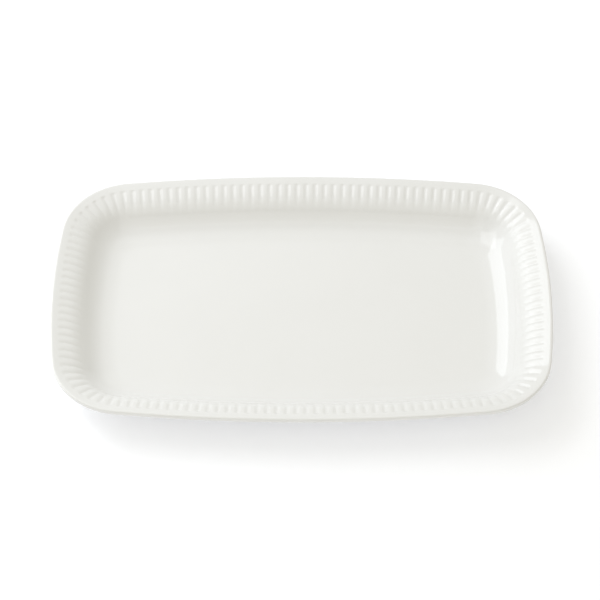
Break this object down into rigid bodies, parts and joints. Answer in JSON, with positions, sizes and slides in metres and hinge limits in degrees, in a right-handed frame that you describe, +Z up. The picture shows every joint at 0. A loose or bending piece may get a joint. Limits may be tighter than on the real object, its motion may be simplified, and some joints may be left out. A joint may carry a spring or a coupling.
{
  "type": "serving platter",
  "caption": "Oblong glazed china serving platter with rounded corners, a flat well, a shoulder of fine upright reeds, a smooth round lip and a low foot ring.",
  "frame": {"origin": "on the surface that the platter stands on, under the middle of the dish", "axes": "+X along the long sides, +Y across the dish, +Z up out of the well"},
  "size_m": [0.356, 0.229, 0.0315],
  "materials": {
    "biscuit": "matte",
    "white_glaze": "gloss",
    "back_glaze": "gloss"
  },
  "bodies": {
    "root": {"china_body": "biscuit", "glaze_coat": "white_glaze", "underside_glaze": "back_glaze"}
  },
  "joints": []
}
